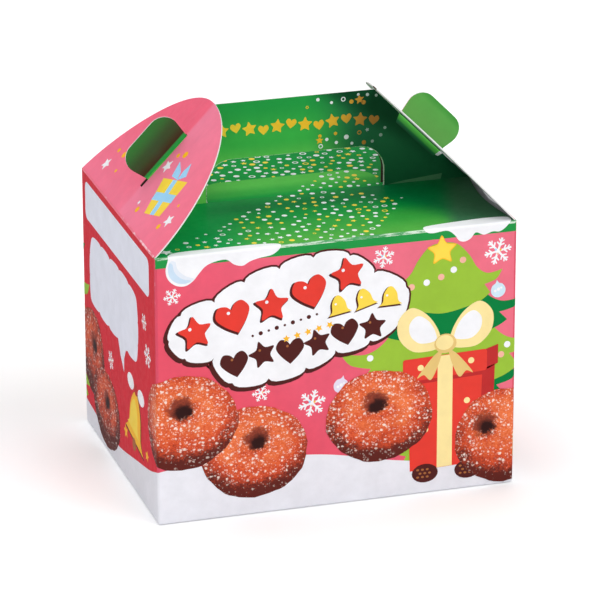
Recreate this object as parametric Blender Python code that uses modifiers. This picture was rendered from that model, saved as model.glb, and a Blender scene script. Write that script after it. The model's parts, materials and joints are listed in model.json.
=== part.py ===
# Closed carry carton folded from one sheet of printed paperboard: a box body, a side flap
# leaning in from each side wall, and an upright handle whose tabs pass through the flaps.
# X runs along the front wall, Y to the back, Z up. The origin is the middle of the base.

import math

import bmesh
import bpy
from mathutils import Matrix, Vector

# Driving sizes, in metres
WIDTH = 0.140
DEPTH = 0.1082
WALL_HEIGHT = 0.1058
BOARD = 0.0005
FOLD_RADIUS = 0.0008

# Side flaps: a leaf outline on a gentle ridge, hinged along the top of each side wall
FLAP_REACH = 0.0547
FLAP_HALF_WIDTH = 0.0532
FLAP_TIP_POWER = 1.65
FLAP_LEAN_MIDDLE = math.radians(44.2)
FLAP_LEAN_GAIN = math.radians(2.5)
FLAP_RIDGE_SCALE = 0.040
FLAP_RIDGE_SOFTNESS = 0.15
FLAP_COLUMNS = 28
FLAP_INSET = 0.00005

# Handle: two upright boards that meet at the top, cut along the slope of the flaps
HANDLE_TOP = 0.1445
HANDLE_FLAP_GAP = 0.0009
HANDLE_ROOT = 0.001
REAR_FOOT = 0.0030
REAR_TOP = 0.00005

# Hand hole in both boards, and the tongue cut from it, which lies back over the top
HOLE_HALF_WIDTH = 0.0350
HOLE_TOP = 0.1222
HOLE_CORNER = 0.0098
TONGUE_HALF_WIDTH = 0.0346
TONGUE_LENGTH = 0.0169
TONGUE_TILT = math.radians(4.5)
TONGUE_ROOT = 0.0015

# Tabs on the ends of the front board, and the slits they pass through
TAB_LOW = 0.0168
TAB_HIGH = 0.0392
TAB_FLARE = 0.0016
TAB_FLARE_AT = 0.0055
TAB_REACH = 0.0122
TAB_CORNER = 0.0050
SLIT_LOW = 0.0134
SLIT_HIGH = 0.0402
SLIT_FRONT = -0.0013
SLIT_BACK = 0.00035
SLIT_CUT_DEPTH = 0.006

# The top panels draw in from the side walls in a shallow curve
CREASE_END = 0.0692
TOP_DRAW_IN = 0.0028
TOP_DRAW_START = 0.0012
TOP_DRAW_END = 0.0512
TOP_DRAW_DEPTH = 0.003
ARC_STEPS = 12


def clear_scene():
    for thing in list(bpy.data.objects):
        bpy.data.objects.remove(thing, do_unlink=True)


def make_collection(name):
    collection = bpy.data.collections.new(name)
    bpy.context.scene.collection.children.link(collection)
    return collection


def make_material(name, color, roughness):
    material = bpy.data.materials.new(name)
    material.use_nodes = True
    shader = material.node_tree.nodes["Principled BSDF"]
    shader.inputs["Base Color"].default_value = (*color, 1.0)
    shader.inputs["Roughness"].default_value = roughness
    shader.inputs["Metallic"].default_value = 0.0
    return material


def object_from_bmesh(name, bm, collection):
    mesh = bpy.data.meshes.new(name)
    bmesh.ops.recalc_face_normals(bm, faces=bm.faces)
    bm.to_mesh(mesh)
    bm.free()
    made = bpy.data.objects.new(name, mesh)
    collection.objects.link(made)
    return made


def rounded_outline(corners):
    """Points round a closed outline whose corners are (x, y, radius)."""
    points = []
    count = len(corners)
    for index, (x, y, radius) in enumerate(corners):
        here = Vector((x, y))
        if radius == 0:
            points.append(here)
            continue
        before = (Vector(corners[index - 1][:2]) - here).normalized()
        after = (Vector(corners[(index + 1) % count][:2]) - here).normalized()
        half_angle = before.angle(after) / 2
        centre = here + (before + after).normalized() * radius / math.sin(half_angle)
        start = here + before * radius / math.tan(half_angle) - centre
        end = here + after * radius / math.tan(half_angle) - centre
        sweep = start.angle_signed(end)
        for step in range(ARC_STEPS + 1):
            turned = start.copy()
            turned.rotate(Matrix.Rotation(-sweep * step / ARC_STEPS, 2))
            points.append(centre + turned)
    return points


def plate(name, outlines, thickness, placed, collection):
    """A flat board cut to closed outlines, any inner one being a hole, then placed by a matrix."""
    curve = bpy.data.curves.new(name, "CURVE")
    curve.dimensions = "2D"
    curve.fill_mode = "BOTH"
    curve.extrude = thickness / 2
    for outline in outlines:
        spline = curve.splines.new("POLY")
        spline.points.add(len(outline) - 1)
        for point, (x, y) in zip(spline.points, outline):
            point.co = (x, y, 0.0, 1.0)
        spline.use_cyclic_u = True
    flat = bpy.data.objects.new(name, curve)
    collection.objects.link(flat)
    flat.matrix_world = placed
    bpy.context.view_layer.update()
    evaluated = flat.evaluated_get(bpy.context.evaluated_depsgraph_get())
    mesh = bpy.data.meshes.new_from_object(evaluated)
    bm = bmesh.new()
    bm.from_mesh(mesh)
    bmesh.ops.remove_doubles(bm, verts=bm.verts, dist=0.000001)
    bm.to_mesh(mesh)
    bm.free()
    solid = bpy.data.objects.new(name, mesh)
    solid.matrix_world = placed
    collection.objects.link(solid)
    bpy.data.objects.remove(flat, do_unlink=True)
    return solid


def make_body(collection):
    """The filled box, its folds rounded except where the side flaps spring from it."""
    bm = bmesh.new()
    size = Matrix.Diagonal((WIDTH, DEPTH, WALL_HEIGHT, 1.0))
    lift = Matrix.Translation((0.0, 0.0, WALL_HEIGHT / 2))
    bmesh.ops.create_cube(bm, size=1.0, matrix=lift @ size)
    folds = []
    for edge in bm.edges:
        first, second = (vert.co for vert in edge.verts)
        along_depth = abs(first.y - second.y) > DEPTH / 2
        on_top = min(first.z, second.z) > WALL_HEIGHT / 2
        if not (along_depth and on_top):
            folds.append(edge)
    bmesh.ops.bevel(
        bm, geom=folds, offset=FOLD_RADIUS, segments=3, profile=0.5, affect="EDGES", material=-1
    )
    return object_from_bmesh("carton", bm, collection)


def draw_in_cutter(side, half, collection):
    """The shallow gap between a side wall and the drawn-in edge of a top panel."""
    start = (CREASE_END, half * TOP_DRAW_START)
    curve = []
    for step in range(1, ARC_STEPS + 1):
        share = step / ARC_STEPS
        reach = TOP_DRAW_START + (TOP_DRAW_END - TOP_DRAW_START) * share
        curve.append((CREASE_END - TOP_DRAW_IN * math.sin(math.pi * share), half * reach))
    outline = [(side * x, y) for x, y in [start] + curve]
    placed = Matrix.Translation((0.0, 0.0, WALL_HEIGHT))
    return plate("draw_in", [outline], 2 * TOP_DRAW_DEPTH, placed, collection)


def flap_lean(along):
    bend = math.hypot(along / FLAP_RIDGE_SCALE, FLAP_RIDGE_SOFTNESS) - FLAP_RIDGE_SOFTNESS
    return FLAP_LEAN_MIDDLE + FLAP_LEAN_GAIN * bend


def flap_reach(along):
    """How far the flap stands up its slope, at a place along its hinge."""
    share = min(abs(along) / FLAP_HALF_WIDTH, 1.0)
    return FLAP_REACH * (1.0 - share**2) ** (1.0 / FLAP_TIP_POWER)


def make_flap(side, collection):
    bm = bmesh.new()
    rows = 3
    bmesh.ops.create_grid(bm, x_segments=FLAP_COLUMNS, y_segments=rows, size=1.0)
    hinge = Vector((side * (WIDTH / 2 - FLAP_INSET), 0.0, WALL_HEIGHT - FLAP_INSET))
    for vert in bm.verts:
        along = FLAP_HALF_WIDTH * math.sin(vert.co.x * math.pi / 2)
        up = flap_reach(along) * (vert.co.y + 1.0) / 2
        lean = flap_lean(along)
        vert.co = hinge + Vector((-side * up * math.sin(lean), along, up * math.cos(lean)))
    bmesh.ops.remove_doubles(bm, verts=bm.verts, dist=0.00001)
    bmesh.ops.recalc_face_normals(bm, faces=bm.faces)
    if sum(face.normal.x for face in bm.faces) * side < 0:
        bmesh.ops.reverse_faces(bm, faces=bm.faces)
    flap = bpy.data.objects.new("flap", bpy.data.meshes.new("flap"))
    bm.to_mesh(flap.data)
    bm.free()
    collection.objects.link(flap)
    shell = flap.modifiers.new("board", "SOLIDIFY")
    shell.thickness = BOARD
    shell.offset = -1.0
    return flap


def slit_cutter(side, collection):
    """A thin block through the ridge of a flap, where the tab passes."""
    bm = bmesh.new()
    length = SLIT_HIGH - SLIT_LOW
    width = SLIT_BACK - SLIT_FRONT
    size = Matrix.Diagonal((SLIT_CUT_DEPTH, width, length, 1.0))
    middle = Matrix.Translation((0.0, (SLIT_FRONT + SLIT_BACK) / 2, (SLIT_LOW + SLIT_HIGH) / 2))
    turn = Matrix.Rotation(-side * FLAP_LEAN_MIDDLE, 4, "Y")
    hinge = Matrix.Translation((side * WIDTH / 2, 0.0, WALL_HEIGHT))
    bmesh.ops.create_cube(bm, size=1.0, matrix=hinge @ turn @ middle @ size)
    return object_from_bmesh("slit", bm, collection)


def on_slope(side, up, out):
    """X and Z of a point up a flap's ridge and out from its face."""
    lean = FLAP_LEAN_MIDDLE
    x = WIDTH / 2 - up * math.sin(lean) + out * math.cos(lean)
    z = WALL_HEIGHT + up * math.cos(lean) + out * math.sin(lean)
    return side * x, z


def slope_up_to(height):
    """How far up the slope the handle's end is when it is this high."""
    return (height - WALL_HEIGHT + HANDLE_FLAP_GAP * math.sin(FLAP_LEAN_MIDDLE)) / math.cos(
        FLAP_LEAN_MIDDLE
    )


def hand_hole():
    low = WALL_HEIGHT
    return rounded_outline(
        [
            (-HOLE_HALF_WIDTH, low, 0),
            (HOLE_HALF_WIDTH, low, 0),
            (HOLE_HALF_WIDTH, HOLE_TOP, HOLE_CORNER),
            (-HOLE_HALF_WIDTH, HOLE_TOP, HOLE_CORNER),
        ]
    )


def handle_side(side, with_tab):
    """Corners up one sloping end of the handle, with the tab where there is one."""
    gap = -HANDLE_FLAP_GAP
    corners = [(*on_slope(side, 0.0016, gap), 0)]
    if with_tab:
        corners += [
            (*on_slope(side, TAB_LOW, gap), 0),
            (*on_slope(side, TAB_LOW, 0.0), 0),
            (*on_slope(side, TAB_LOW - TAB_FLARE, TAB_FLARE_AT), 0.0015),
            (*on_slope(side, TAB_LOW + TAB_FLARE, TAB_REACH), TAB_CORNER),
            (*on_slope(side, TAB_HIGH - TAB_FLARE, TAB_REACH), TAB_CORNER),
            (*on_slope(side, TAB_HIGH + TAB_FLARE, TAB_FLARE_AT), 0.0015),
            (*on_slope(side, TAB_HIGH, 0.0), 0),
            (*on_slope(side, TAB_HIGH, gap), 0),
        ]
    corners.append((*on_slope(side, slope_up_to(HANDLE_TOP), gap), 0))
    return corners


def make_handle_board(name, with_tab, placed, collection):
    foot = WALL_HEIGHT - HANDLE_ROOT
    right = handle_side(1, with_tab)
    left = handle_side(-1, with_tab)[::-1]
    foot_half = right[0][0]
    outer = [(-foot_half, foot, 0), (foot_half, foot, 0)] + right + left
    return plate(name, [rounded_outline(outer), hand_hole()], BOARD, placed, collection)


def make_handle(collection):
    """The front board stands upright, and the rear one leans against its top."""
    upright = Matrix.Rotation(math.pi / 2, 4, "X")
    front = Matrix.Translation((0.0, -BOARD / 2, 0.0)) @ upright
    lean = math.atan2(REAR_FOOT - REAR_TOP, HANDLE_TOP - WALL_HEIGHT)
    foot = Matrix.Translation((0.0, REAR_FOOT, WALL_HEIGHT))
    rear = foot @ Matrix.Rotation(lean, 4, "X") @ upright @ Matrix.Translation((0.0, -WALL_HEIGHT, 0.0))
    return [
        make_handle_board("handle_front", True, front, collection),
        make_handle_board("handle_rear", False, rear, collection),
    ]


def make_tongue(collection):
    outline = rounded_outline(
        [
            (-TONGUE_HALF_WIDTH, -TONGUE_ROOT, 0),
            (TONGUE_HALF_WIDTH, -TONGUE_ROOT, 0),
            (TONGUE_HALF_WIDTH, TONGUE_LENGTH, HOLE_CORNER),
            (-TONGUE_HALF_WIDTH, TONGUE_LENGTH, HOLE_CORNER),
        ]
    )
    turn = Matrix.Rotation(TONGUE_TILT, 4, "X")
    placed = Matrix.Translation((0.0, 0.0, WALL_HEIGHT - BOARD / 2 + FLAP_INSET)) @ turn
    return plate("tongue", [outline], BOARD, placed, collection)


def join(body, others, operation):
    """Cuts or fuses other solids into the body and removes them."""
    for other in others:
        change = body.modifiers.new(other.name, "BOOLEAN")
        change.object = other
        change.operation = operation
        change.solver = "EXACT"
    bpy.context.view_layer.update()
    evaluated = body.evaluated_get(bpy.context.evaluated_depsgraph_get())
    mesh = bpy.data.meshes.new_from_object(evaluated)
    body.modifiers.clear()
    body.data = mesh
    for other in others:
        bpy.data.objects.remove(other, do_unlink=True)


def main():
    clear_scene()
    carton_parts = make_collection("carry_carton")
    tools = make_collection("cutters")
    body = make_body(carton_parts)
    join(body, [draw_in_cutter(side, half, tools) for side in (-1, 1) for half in (-1, 1)], "DIFFERENCE")
    for side in (-1, 1):
        flap = make_flap(side, tools)
        join(flap, [slit_cutter(side, tools)], "DIFFERENCE")
        join(body, [flap], "UNION")
    join(body, make_handle(tools), "UNION")
    join(body, [make_tongue(tools)], "UNION")
    body.data.name = "carton"
    body.data.materials.clear()
    body.data.materials.append(make_material("printed_board", (0.84, 0.14, 0.22), 0.35))


main()
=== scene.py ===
import json
import math
import random

import bmesh
import bpy
from mathutils import Matrix, Vector, geometry

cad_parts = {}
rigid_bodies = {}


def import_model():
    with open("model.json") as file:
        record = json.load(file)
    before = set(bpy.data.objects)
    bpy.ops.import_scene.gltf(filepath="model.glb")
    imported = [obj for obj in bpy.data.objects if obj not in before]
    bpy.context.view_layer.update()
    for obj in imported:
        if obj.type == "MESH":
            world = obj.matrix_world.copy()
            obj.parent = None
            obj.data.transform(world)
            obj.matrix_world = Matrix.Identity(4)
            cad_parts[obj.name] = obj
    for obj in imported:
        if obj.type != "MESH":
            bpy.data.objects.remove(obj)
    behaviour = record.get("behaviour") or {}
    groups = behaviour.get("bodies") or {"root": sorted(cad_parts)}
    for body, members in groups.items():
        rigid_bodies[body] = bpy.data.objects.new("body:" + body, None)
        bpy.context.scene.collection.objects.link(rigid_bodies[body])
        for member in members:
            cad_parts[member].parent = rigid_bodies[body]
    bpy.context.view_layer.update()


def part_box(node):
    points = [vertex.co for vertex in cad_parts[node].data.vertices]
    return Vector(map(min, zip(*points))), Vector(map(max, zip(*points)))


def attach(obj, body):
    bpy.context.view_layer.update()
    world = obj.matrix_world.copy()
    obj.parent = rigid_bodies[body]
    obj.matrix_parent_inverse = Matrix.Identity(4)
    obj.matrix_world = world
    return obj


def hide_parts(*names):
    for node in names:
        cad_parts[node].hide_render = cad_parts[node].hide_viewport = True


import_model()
mm = 0.001
lowCorner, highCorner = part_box("carton")

carton = {
    "width": round((highCorner.x - lowCorner.x) / mm, 3),
    "depth": round((highCorner.y - lowCorner.y) / mm, 3),
    "wallHeight": 105.8,
    "board": 0.5,
    "foldRadius": 0.9,
    "foldSteps": 4,
    "greenFrom": 101.8,  # the green band under the top folds
    "snowUpTo": 7.0,
    "bandSink": 3.0,  # depth of the gap beside the drawn-in top panels
}
halfWidth = carton["width"] / 2
halfDepth = carton["depth"] / 2
wallTop = carton["wallHeight"]
roundTrip = 2 * (carton["width"] + carton["depth"])

flap = {
    "reach": 54.7,
    "halfWidth": 53.2,
    "tipPower": 1.65,
    "lean": 44.2,
    "leanGain": {"left": (2.5, 2.5), "right": (-1.2, 2.5)},  # towards the front end, the back end
    "ridgeScale": 40.0,
    "ridgeSoftness": 0.15,
    "columns": 64,
    "rows": 5,
    "slit": (-1.7, 0.35, 13.2, 39.2),  # front, back, low and high
    "inkLift": 0.03,
    "foldLift": 0.10,  # the fold's strip, a painted highlight with cracks of wear, stands over the sharp corner of the wall
}

# Materials


def newMaterial(name):
    made = bpy.data.materials.new(name)
    made.use_nodes = True
    return made, made.node_tree, made.node_tree.nodes["Principled BSDF"]


def addNode(tree, kind, values=(), **settings):
    # a node with its settings, and its inputs given as numbers or as other sockets
    made = tree.nodes.new(kind)
    for key, value in settings.items():
        setattr(made, key, value)
    for key, value in dict(values).items():
        if isinstance(value, bpy.types.NodeSocket):
            tree.links.new(value, made.inputs[key])
        else:
            made.inputs[key].default_value = value
    return made


def objectPlace(tree):
    return addNode(tree, "ShaderNodeTexCoord").outputs["Object"]


def calc(tree, operation, *values, clamp=False):
    inputs = dict(enumerate(values))
    return addNode(tree, "ShaderNodeMath", inputs, operation=operation, use_clamp=clamp).outputs[0]


def total(tree, *values, clamp=False):
    made = values[0]
    for value in values[1:-1]:
        made = calc(tree, "ADD", made, value)
    return calc(tree, "ADD", made, values[-1], clamp=clamp)


def times(tree, *values):
    made = values[0]
    for value in values[1:]:
        made = calc(tree, "MULTIPLY", made, value)
    return made


def mapRange(tree, value, fromLow, fromHigh, toLow=0.0, toHigh=1.0, smooth=False):
    kind = "SMOOTHSTEP" if smooth else "LINEAR"
    values = {0: value, 1: fromLow, 2: fromHigh, 3: toLow, 4: toHigh}
    return addNode(tree, "ShaderNodeMapRange", values, interpolation_type=kind).outputs[0]


def mixColour(tree, factor, first, second):
    values = {0: factor, 6: first, 7: second}
    return addNode(tree, "ShaderNodeMix", values, data_type="RGBA").outputs[2]


def vectorMath(tree, operation, values):
    return addNode(tree, "ShaderNodeVectorMath", values, operation=operation).outputs


def mapping(tree, place, **values):
    return addNode(tree, "ShaderNodeMapping", {"Vector": place, **values}).outputs[0]


def noise(tree, place, scale, detail=2.0, rough=0.5, output="Fac"):
    values = {"Vector": place, "Scale": scale, "Detail": detail, "Roughness": rough}
    return addNode(tree, "ShaderNodeTexNoise", values).outputs[output]


def bump(tree, height, distance, strength, **more):
    values = {"Height": height, "Distance": distance, "Strength": strength, **more}
    return addNode(tree, "ShaderNodeBump", values).outputs[0]


def ramp(tree, value, stops, blend="LINEAR"):
    made = addNode(tree, "ShaderNodeValToRGB", {0: value})
    made.color_ramp.interpolation = blend
    while len(made.color_ramp.elements) < len(stops):
        made.color_ramp.elements.new(0.5)
    for element, (position, colour) in zip(made.color_ramp.elements, stops):
        element.position = position
        element.color = colour
    return made.outputs[0]


def sRgb(red, green, blue):
    # a colour read as 0 to 255 on screen, as the shader wants it
    made = []
    for part in (red, green, blue):
        share = part / 255
        made.append(share / 12.92 if share < 0.04045 else ((share + 0.055) / 1.055) ** 2.4)
    return (*made, 1.0)


boardFinish = {
    "roughLow": 0.30,
    "roughHigh": 0.42,
    "specular": 0.42,
    "mottle": 0.06,
    # scale, detail and roughness of each noise
    "mottleNoise": (140.0, 4.0, 0.6),
    "glossNoise": (420.0, 3.0),
    "waveNoise": (24.0, 1.0, 0.3),
    "fibreNoise": (1500.0, 2.0),
    # height in metres, and strength
    "waveBump": (0.00045, 0.6),
    "fibreBump": (0.000012, 0.5),
}
topFinish = {**boardFinish, "specular": 0.10}  # the top shines less where it is seen at a low angle
noiseSpan = (0.3, 0.7)  # most of a noise lies between these


def finishBoard(tree, shader, colour, finish=boardFinish):
    # the coated board under every ink: slight mottle, fine fibre and soft waves
    place = objectPlace(tree)
    blotch = noise(tree, place, *finish["mottleNoise"])
    shade = mapRange(tree, blotch, *noiseSpan, 1.0 - finish["mottle"], 1.0 + finish["mottle"] / 2)
    toned = vectorMath(tree, "SCALE", {0: colour, 3: shade})[0]
    gloss = noise(tree, place, *finish["glossNoise"])
    rough = mapRange(tree, gloss, *noiseSpan, finish["roughLow"], finish["roughHigh"])
    soft = bump(tree, noise(tree, place, *finish["waveNoise"]), *finish["waveBump"])
    grain = bump(tree, noise(tree, place, *finish["fibreNoise"]), *finish["fibreBump"], Normal=soft)
    for name, socket in (("Base Color", toned), ("Roughness", rough), ("Normal", grain)):
        tree.links.new(socket, shader.inputs[name])
    shader.inputs["Specular IOR Level"].default_value = finish["specular"]


def plainInk(name, colour, finish=boardFinish):
    made, tree, shader = newMaterial("ink_" + name)
    rgb = addNode(tree, "ShaderNodeRGB")
    rgb.outputs[0].default_value = colour
    finishBoard(tree, shader, rgb.outputs[0], finish)
    return made


# painted light and shade for the flaps: the lit front half, brighter near the ridge, and the shaded back half
ridge = {
    # in metres, as object coordinates are
    "across": (-0.0022, 0.0006),
    "upwards": (0.108, 0.132, 0.40, 1.0),
    "frontHalf": (-0.05, -0.002),
    "front": sRgb(253, 119, 145),
    "crest": sRgb(250, 133, 161),
    "back": sRgb(250, 102, 130),
}


def ridgeShadedInk(name):
    # the flaps are pulled into a slight ridge by the tabs; painted light brightens the front half near the
    # ridge and painted shade darkens the back half, more so higher up
    made, tree, shader = newMaterial("ink_" + name)
    _, y, z = addNode(tree, "ShaderNodeSeparateXYZ", {0: objectPlace(tree)}).outputs
    half = mapRange(tree, y, *ridge["across"], smooth=True)
    fade = mapRange(tree, z, *ridge["upwards"])
    tint = mixColour(tree, mapRange(tree, y, *ridge["frontHalf"]), ridge["front"], ridge["crest"])
    finishBoard(tree, shader, mixColour(tree, times(tree, half, fade), tint, ridge["back"]))
    return made


crack = {"fine": (900.0, 6.0, 0.75), "patch": (120.0, 3.0, 0.6), "patches": 0.55, "span": (0.98, 1.10)}


def crackedInk(name, colour, under, amount, stretch):
    # ink broken along a fold, with the white of the board showing through; where its ink is lighter than the
    # panel, as on the green top fold, it is also a painted highlight
    made, tree, shader = newMaterial("ink_" + name)
    drawn = mapping(tree, objectPlace(tree), Scale=stretch)
    broken = noise(tree, drawn, *crack["fine"])
    patches = noise(tree, drawn, *crack["patch"])
    both = total(tree, broken, times(tree, patches, crack["patches"]))
    share = mapRange(tree, both, *(limit - amount for limit in crack["span"]), smooth=True)
    finishBoard(tree, shader, mixColour(tree, share, colour, under))
    return made


def along(tree, place, direction, start, end, soft=False):
    # 0 to 1 along a direction through the box, between two distances in millimetres
    way = vectorMath(tree, "DOT_PRODUCT", {0: place, 1: direction})
    return mapRange(tree, way["Value"], start * mm, end * mm, smooth=soft)


def fadedInk(name, stops, direction, start, end, sides=(), finish=boardFinish):
    # ink that fades along a direction, and turns to other colours towards its sides
    made, tree, shader = newMaterial("ink_" + name)
    place = objectPlace(tree)
    tint = ramp(tree, along(tree, place, direction, start, end), stops, "EASE")
    for sideways, sideStart, sideEnd, colour in sides:
        share = along(tree, place, sideways, sideStart, sideEnd, True)
        tint = mixColour(tree, share, tint, colour)
    finishBoard(tree, shader, tint, finish)
    return made


cake = {
    "stops": [(0.02, sRgb(100, 26, 14)), (0.45, sRgb(214, 70, 24)), (0.88, sRgb(244, 122, 62))],
    "dark": sRgb(100, 26, 14),
    "hole": sRgb(52, 12, 8),
    "holeWall": sRgb(168, 66, 36),
    "sugar": sRgb(255, 240, 228),
    "holeSize": (0.27, 0.28),
    "coreShift": (0.05, -0.09),
    "coreWobble": 0.6,
    "coreSpan": (0.378, 0.864),
    "sugared": 0.86,
    "ragged": 0.055,
    # scale across half the picture, reach and strength of the fine grains and of the lumps
    "sugars": ((25.0, 0.46, 0.50), (12.5, 0.42, 0.82)),
    "grainEdge": (-0.16, 0.05),
    # scale, detail and roughness of each noise
    "lump": (4.5, 4.0, 0.65),
    "crumb": (26.0, 6.0, 0.78),
    "wobbleNoise": (7.0, 3.0, 0.7),
    "driftNoise": (5.0, 4.0, 0.7),
    "tear": (22.0, 2.0, 0.5, "Color"),
    # light and shade, each from a low and a high value to what they give
    "wobble": (*noiseSpan, -0.24, 0.24),
    "heightLight": (-1.0, 0.7, -0.02, 0.50),
    "crown": (0.50, 1.0, 0.46, 0.0),
    "nearHole": (1.0, 1.8, -0.16, 0.0),
    "underside": (-1.0, -0.15, -0.23, 0.0),
    "lumpLight": (*noiseSpan, -0.17, 0.17),
    "crumbLight": (0.32, 0.68, -0.30, 0.24),
    "wallCrumb": (0.36, 0.64, 0.0, 0.8),
    "holeEdge": (0.66, 1.10, 1.0, 0.0),
    "edgeCrumb": (*noiseSpan, -0.16, 0.16),
    "outside": (0.66, 1.02),
    # where the sugar lies
    "drift": (0.36, 0.64, -0.36, 0.34),
    "crest": (-1.0, 0.05, 0.08, 0.74),
    "rim": (0.84, 0.96),
    "rimHeight": (-0.2, 0.4, 0.0, 0.62),
    "inShade": (-1.0, -0.45, 0.40),
    "pictures": [
        # where the hole is, and how much painted shade darkens the picture and thins its sugar; the short
        # sides' two are in shade
        ((0.0, 0.31), 0.0), ((0.04, 0.28), 0.0), ((-0.08, 0.31), 0.0), ((-0.40, 0.28), 0.0),
        ((0.15, 0.27), 0.28), ((0.04, 0.27), 0.28),
    ],
}


def fromSpot(tree, x, y, spot, size):
    # distance from a spot, in units of its own half width and half height
    squares = []
    for value, middle, half in ((x, spot[0], size[0]), (y, spot[1], size[1])):
        apart = calc(tree, "DIVIDE", calc(tree, "SUBTRACT", value, middle), half)
        squares.append(times(tree, apart, apart))
    return calc(tree, "SQRT", total(tree, *squares))


def sugaredInk(name, seed, holeAt, paintedShade):
    # the picture of a sugared ring cake, drawn on a disc whose UV runs from -1 to 1; the last argument is
    # painted shade that darkens it and thins its sugar
    made, tree, shader = newMaterial(name)
    flat = addNode(tree, "ShaderNodeUVMap", uv_map="flat").outputs[0]
    x, y, _ = addNode(tree, "ShaderNodeSeparateXYZ", {0: flat}).outputs
    shifted = mapping(tree, flat, Location=(seed, seed * 0.7, seed * 1.3))
    lump = noise(tree, shifted, *cake["lump"])
    crumb = noise(tree, shifted, *cake["crumb"])
    wobble = mapRange(tree, noise(tree, shifted, *cake["wobbleNoise"]), *cake["wobble"])
    fromHole = total(tree, fromSpot(tree, x, y, holeAt, cake["holeSize"]), wobble)
    fromMiddle = fromSpot(tree, x, y, (0.0, 0.0), (1.0, 1.0))
    # light falls from above: the crown is pale, the underside and the rim are brown
    lit = total(
        tree,
        mapRange(tree, y, *cake["heightLight"]),
        mapRange(tree, fromMiddle, *cake["crown"], smooth=True),
        mapRange(tree, fromHole, *cake["nearHole"]),
        mapRange(tree, y, *cake["underside"]),
        -paintedShade,
        mapRange(tree, lump, *cake["lumpLight"]),
        mapRange(tree, crumb, *cake["crumbLight"]),
        clamp=True,
    )
    tint = ramp(tree, lit, cake["stops"])
    # the hole: a lit far wall that turns into a dark core low in it
    coreAt = [place + shift for place, shift in zip(holeAt, cake["coreShift"])]
    core = fromSpot(tree, x, y, coreAt, cake["holeSize"])
    fromCore = total(tree, core, times(tree, wobble, cake["coreWobble"]))
    wallShade = mixColour(tree, mapRange(tree, crumb, *cake["wallCrumb"]), cake["holeWall"], cake["dark"])
    inner = mapRange(tree, fromCore, *cake["coreSpan"], smooth=True)
    wallShade = mixColour(tree, inner, cake["hole"], wallShade)
    edge = total(tree, fromHole, mapRange(tree, crumb, *cake["edgeCrumb"]))
    tint = mixColour(tree, mapRange(tree, edge, *cake["holeEdge"], smooth=True), tint, wallShade)
    outside = mapRange(tree, fromHole, *cake["outside"], smooth=True)
    # sugar in ragged lumps and fine grains, in drifts, thick on the crown and thin underneath
    drift = mapRange(tree, noise(tree, shifted, *cake["driftNoise"]), *cake["drift"])
    inShade = mapRange(tree, y, *cake["inShade"], 1.0 - paintedShade)
    rim = times(tree, mapRange(tree, fromMiddle, *cake["rim"]), mapRange(tree, y, *cake["rimHeight"]))
    dusting = total(tree, mapRange(tree, y, *cake["crest"]), rim, drift, clamp=True)
    pulled = vectorMath(tree, "SCALE", {0: noise(tree, shifted, *cake["tear"]), 3: cake["ragged"]})[0]
    ragged = vectorMath(tree, "ADD", {0: shifted, 1: pulled})[0]
    for scale, reach, strength in cake["sugars"]:
        grains = addNode(tree, "ShaderNodeTexVoronoi", {"Vector": ragged, "Scale": scale, "Randomness": 1.0})
        pick = addNode(tree, "ShaderNodeSeparateColor", {0: grains.outputs["Color"]}).outputs[0]
        chosen = calc(tree, "LESS_THAN", pick, times(tree, dusting, cake["sugared"] - paintedShade))
        size = mapRange(tree, pick, 0.0, 0.8, reach, reach * 0.5)
        past = calc(tree, "SUBTRACT", grains.outputs["Distance"], size)
        speck = mapRange(tree, past, *cake["grainEdge"], strength, 0.0)
        tint = mixColour(tree, times(tree, speck, chosen, outside, inShade), tint, cake["sugar"])
    finishBoard(tree, shader, tint)
    return made


fibre = {
    "stretch": (1.0, 1.0, 5.0),
    "noise": (520.0, 5.0, 0.7),
    "dull": 0.86,
    "rough": (0.2, 0.8, 0.7, 0.9),
    "bump": (0.00003, 0.6),
}


def rawBoard(name, colour):
    made, tree, shader = newMaterial("board_" + name)
    fibres = mapping(tree, objectPlace(tree), Scale=fibre["stretch"])
    streak = noise(tree, fibres, *fibre["noise"])
    dull = (*(part * fibre["dull"] for part in colour[:3]), 1.0)
    tint = mixColour(tree, mapRange(tree, streak, *noiseSpan), dull, colour)
    rough = mapRange(tree, streak, *fibre["rough"])
    rise = bump(tree, streak, *fibre["bump"])
    for key, socket in (("Base Color", tint), ("Roughness", rough), ("Normal", rise)):
        tree.links.new(socket, shader.inputs[key])
    return made


tones = {
    # painted shade: a darker copy of the wall pink for the short sides
    "shadedSidePink": sRgb(224, 12, 42),
    "white": sRgb(247, 247, 250),
    "snow": sRgb(235, 235, 242),
    "snowShade": sRgb(204, 225, 244),
    "snowHaze": sRgb(230, 236, 246),
    "gold": sRgb(255, 190, 24),
    "yellow": sRgb(255, 220, 70),
    "paleBlue": sRgb(160, 216, 250),
    "frost": sRgb(208, 232, 246),
    "lilac": sRgb(229, 220, 240),
    "peach": sRgb(250, 186, 160),
    "red": sRgb(236, 52, 36),
    "deepRed": sRgb(196, 30, 30),
    "brown": sRgb(86, 24, 20),
    "tan": sRgb(176, 104, 52),
    "cream": sRgb(255, 232, 160),
    "creamShade": sRgb(236, 200, 120),
    "leaf": sRgb(156, 198, 48),
    "green": sRgb(12, 156, 66),
    "paper": sRgb(236, 238, 250),
    # painted highlight: a pale green for the shine on the fold at the handle's foot
    "foldGreen": sRgb(88, 150, 104),
    "seam": sRgb(150, 146, 144),
}
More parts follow.
